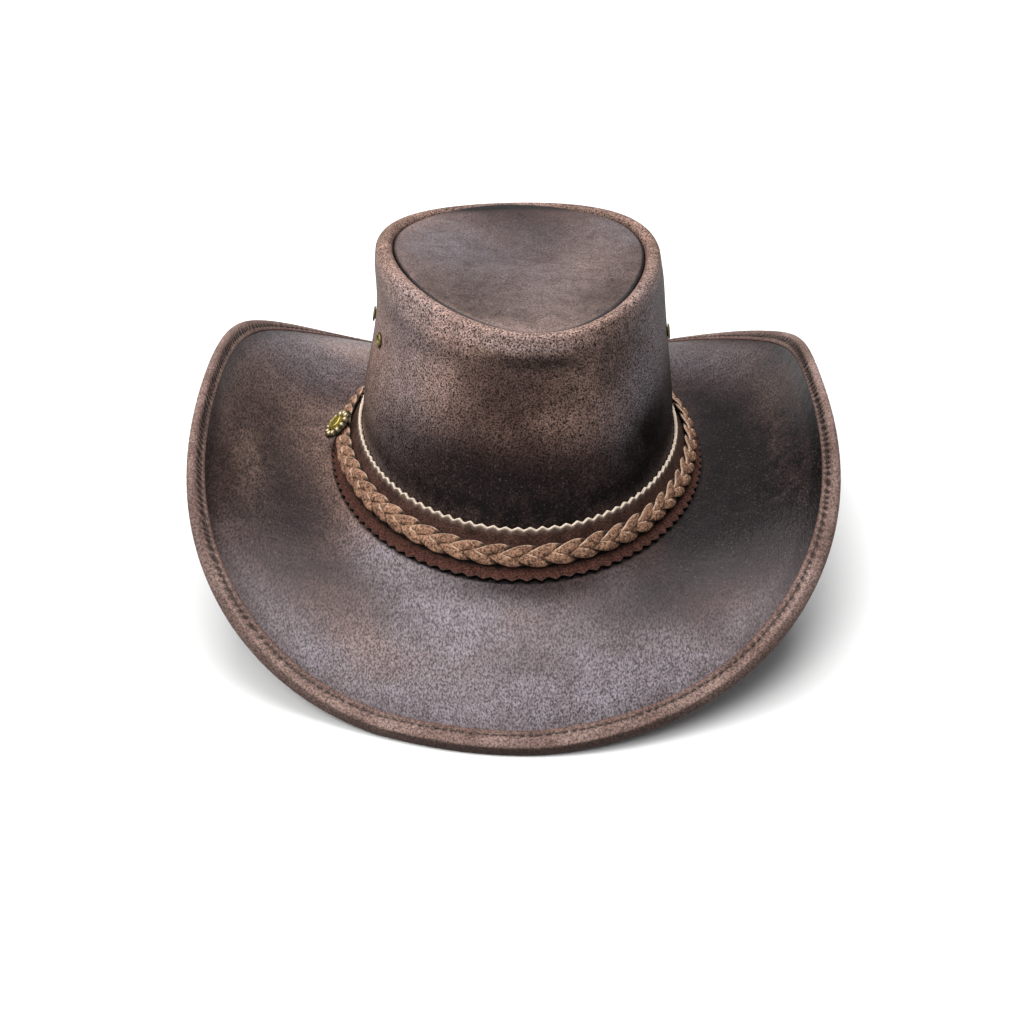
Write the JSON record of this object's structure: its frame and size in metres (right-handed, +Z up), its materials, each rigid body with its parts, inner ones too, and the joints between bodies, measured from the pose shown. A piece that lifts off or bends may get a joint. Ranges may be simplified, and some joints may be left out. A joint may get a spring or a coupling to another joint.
{
  "type": "leather cowboy hat",
  "caption": "Wide-brimmed leather western hat: oval crown with a rolled rim, bound saddle-shaped brim, pinked suede band, plaited braid, flower stud and vent eyelets.",
  "frame": {"origin": "on the floor, under the middle of the hat's box", "axes": "+Z up, the hat's front faces -Y, +X towards the wearer's left"},
  "size_m": [0.3086, 0.369, 0.1514],
  "materials": {
    "leather": "waxed pull-up leather, dark brown, worn lighter and redder in clouds",
    "binding_leather": "folded leather strip, dull, a little lighter",
    "band_suede": "dark brown suede with pale cut edges",
    "braid_suede": "tan brown suede lace",
    "brass": "aged brass"
  },
  "bodies": {
    "root": {"crown_side": "leather", "crown_tip": "leather", "brim": "leather", "brim_binding": "binding_leather", "hat_band": "band_suede", "braid": "braid_suede", "concho": "brass", "eyelet_left_front": "brass", "eyelet_left_back": "brass", "eyelet_right_back": "brass", "eyelet_right_front": "brass"}
  },
  "joints": []
}
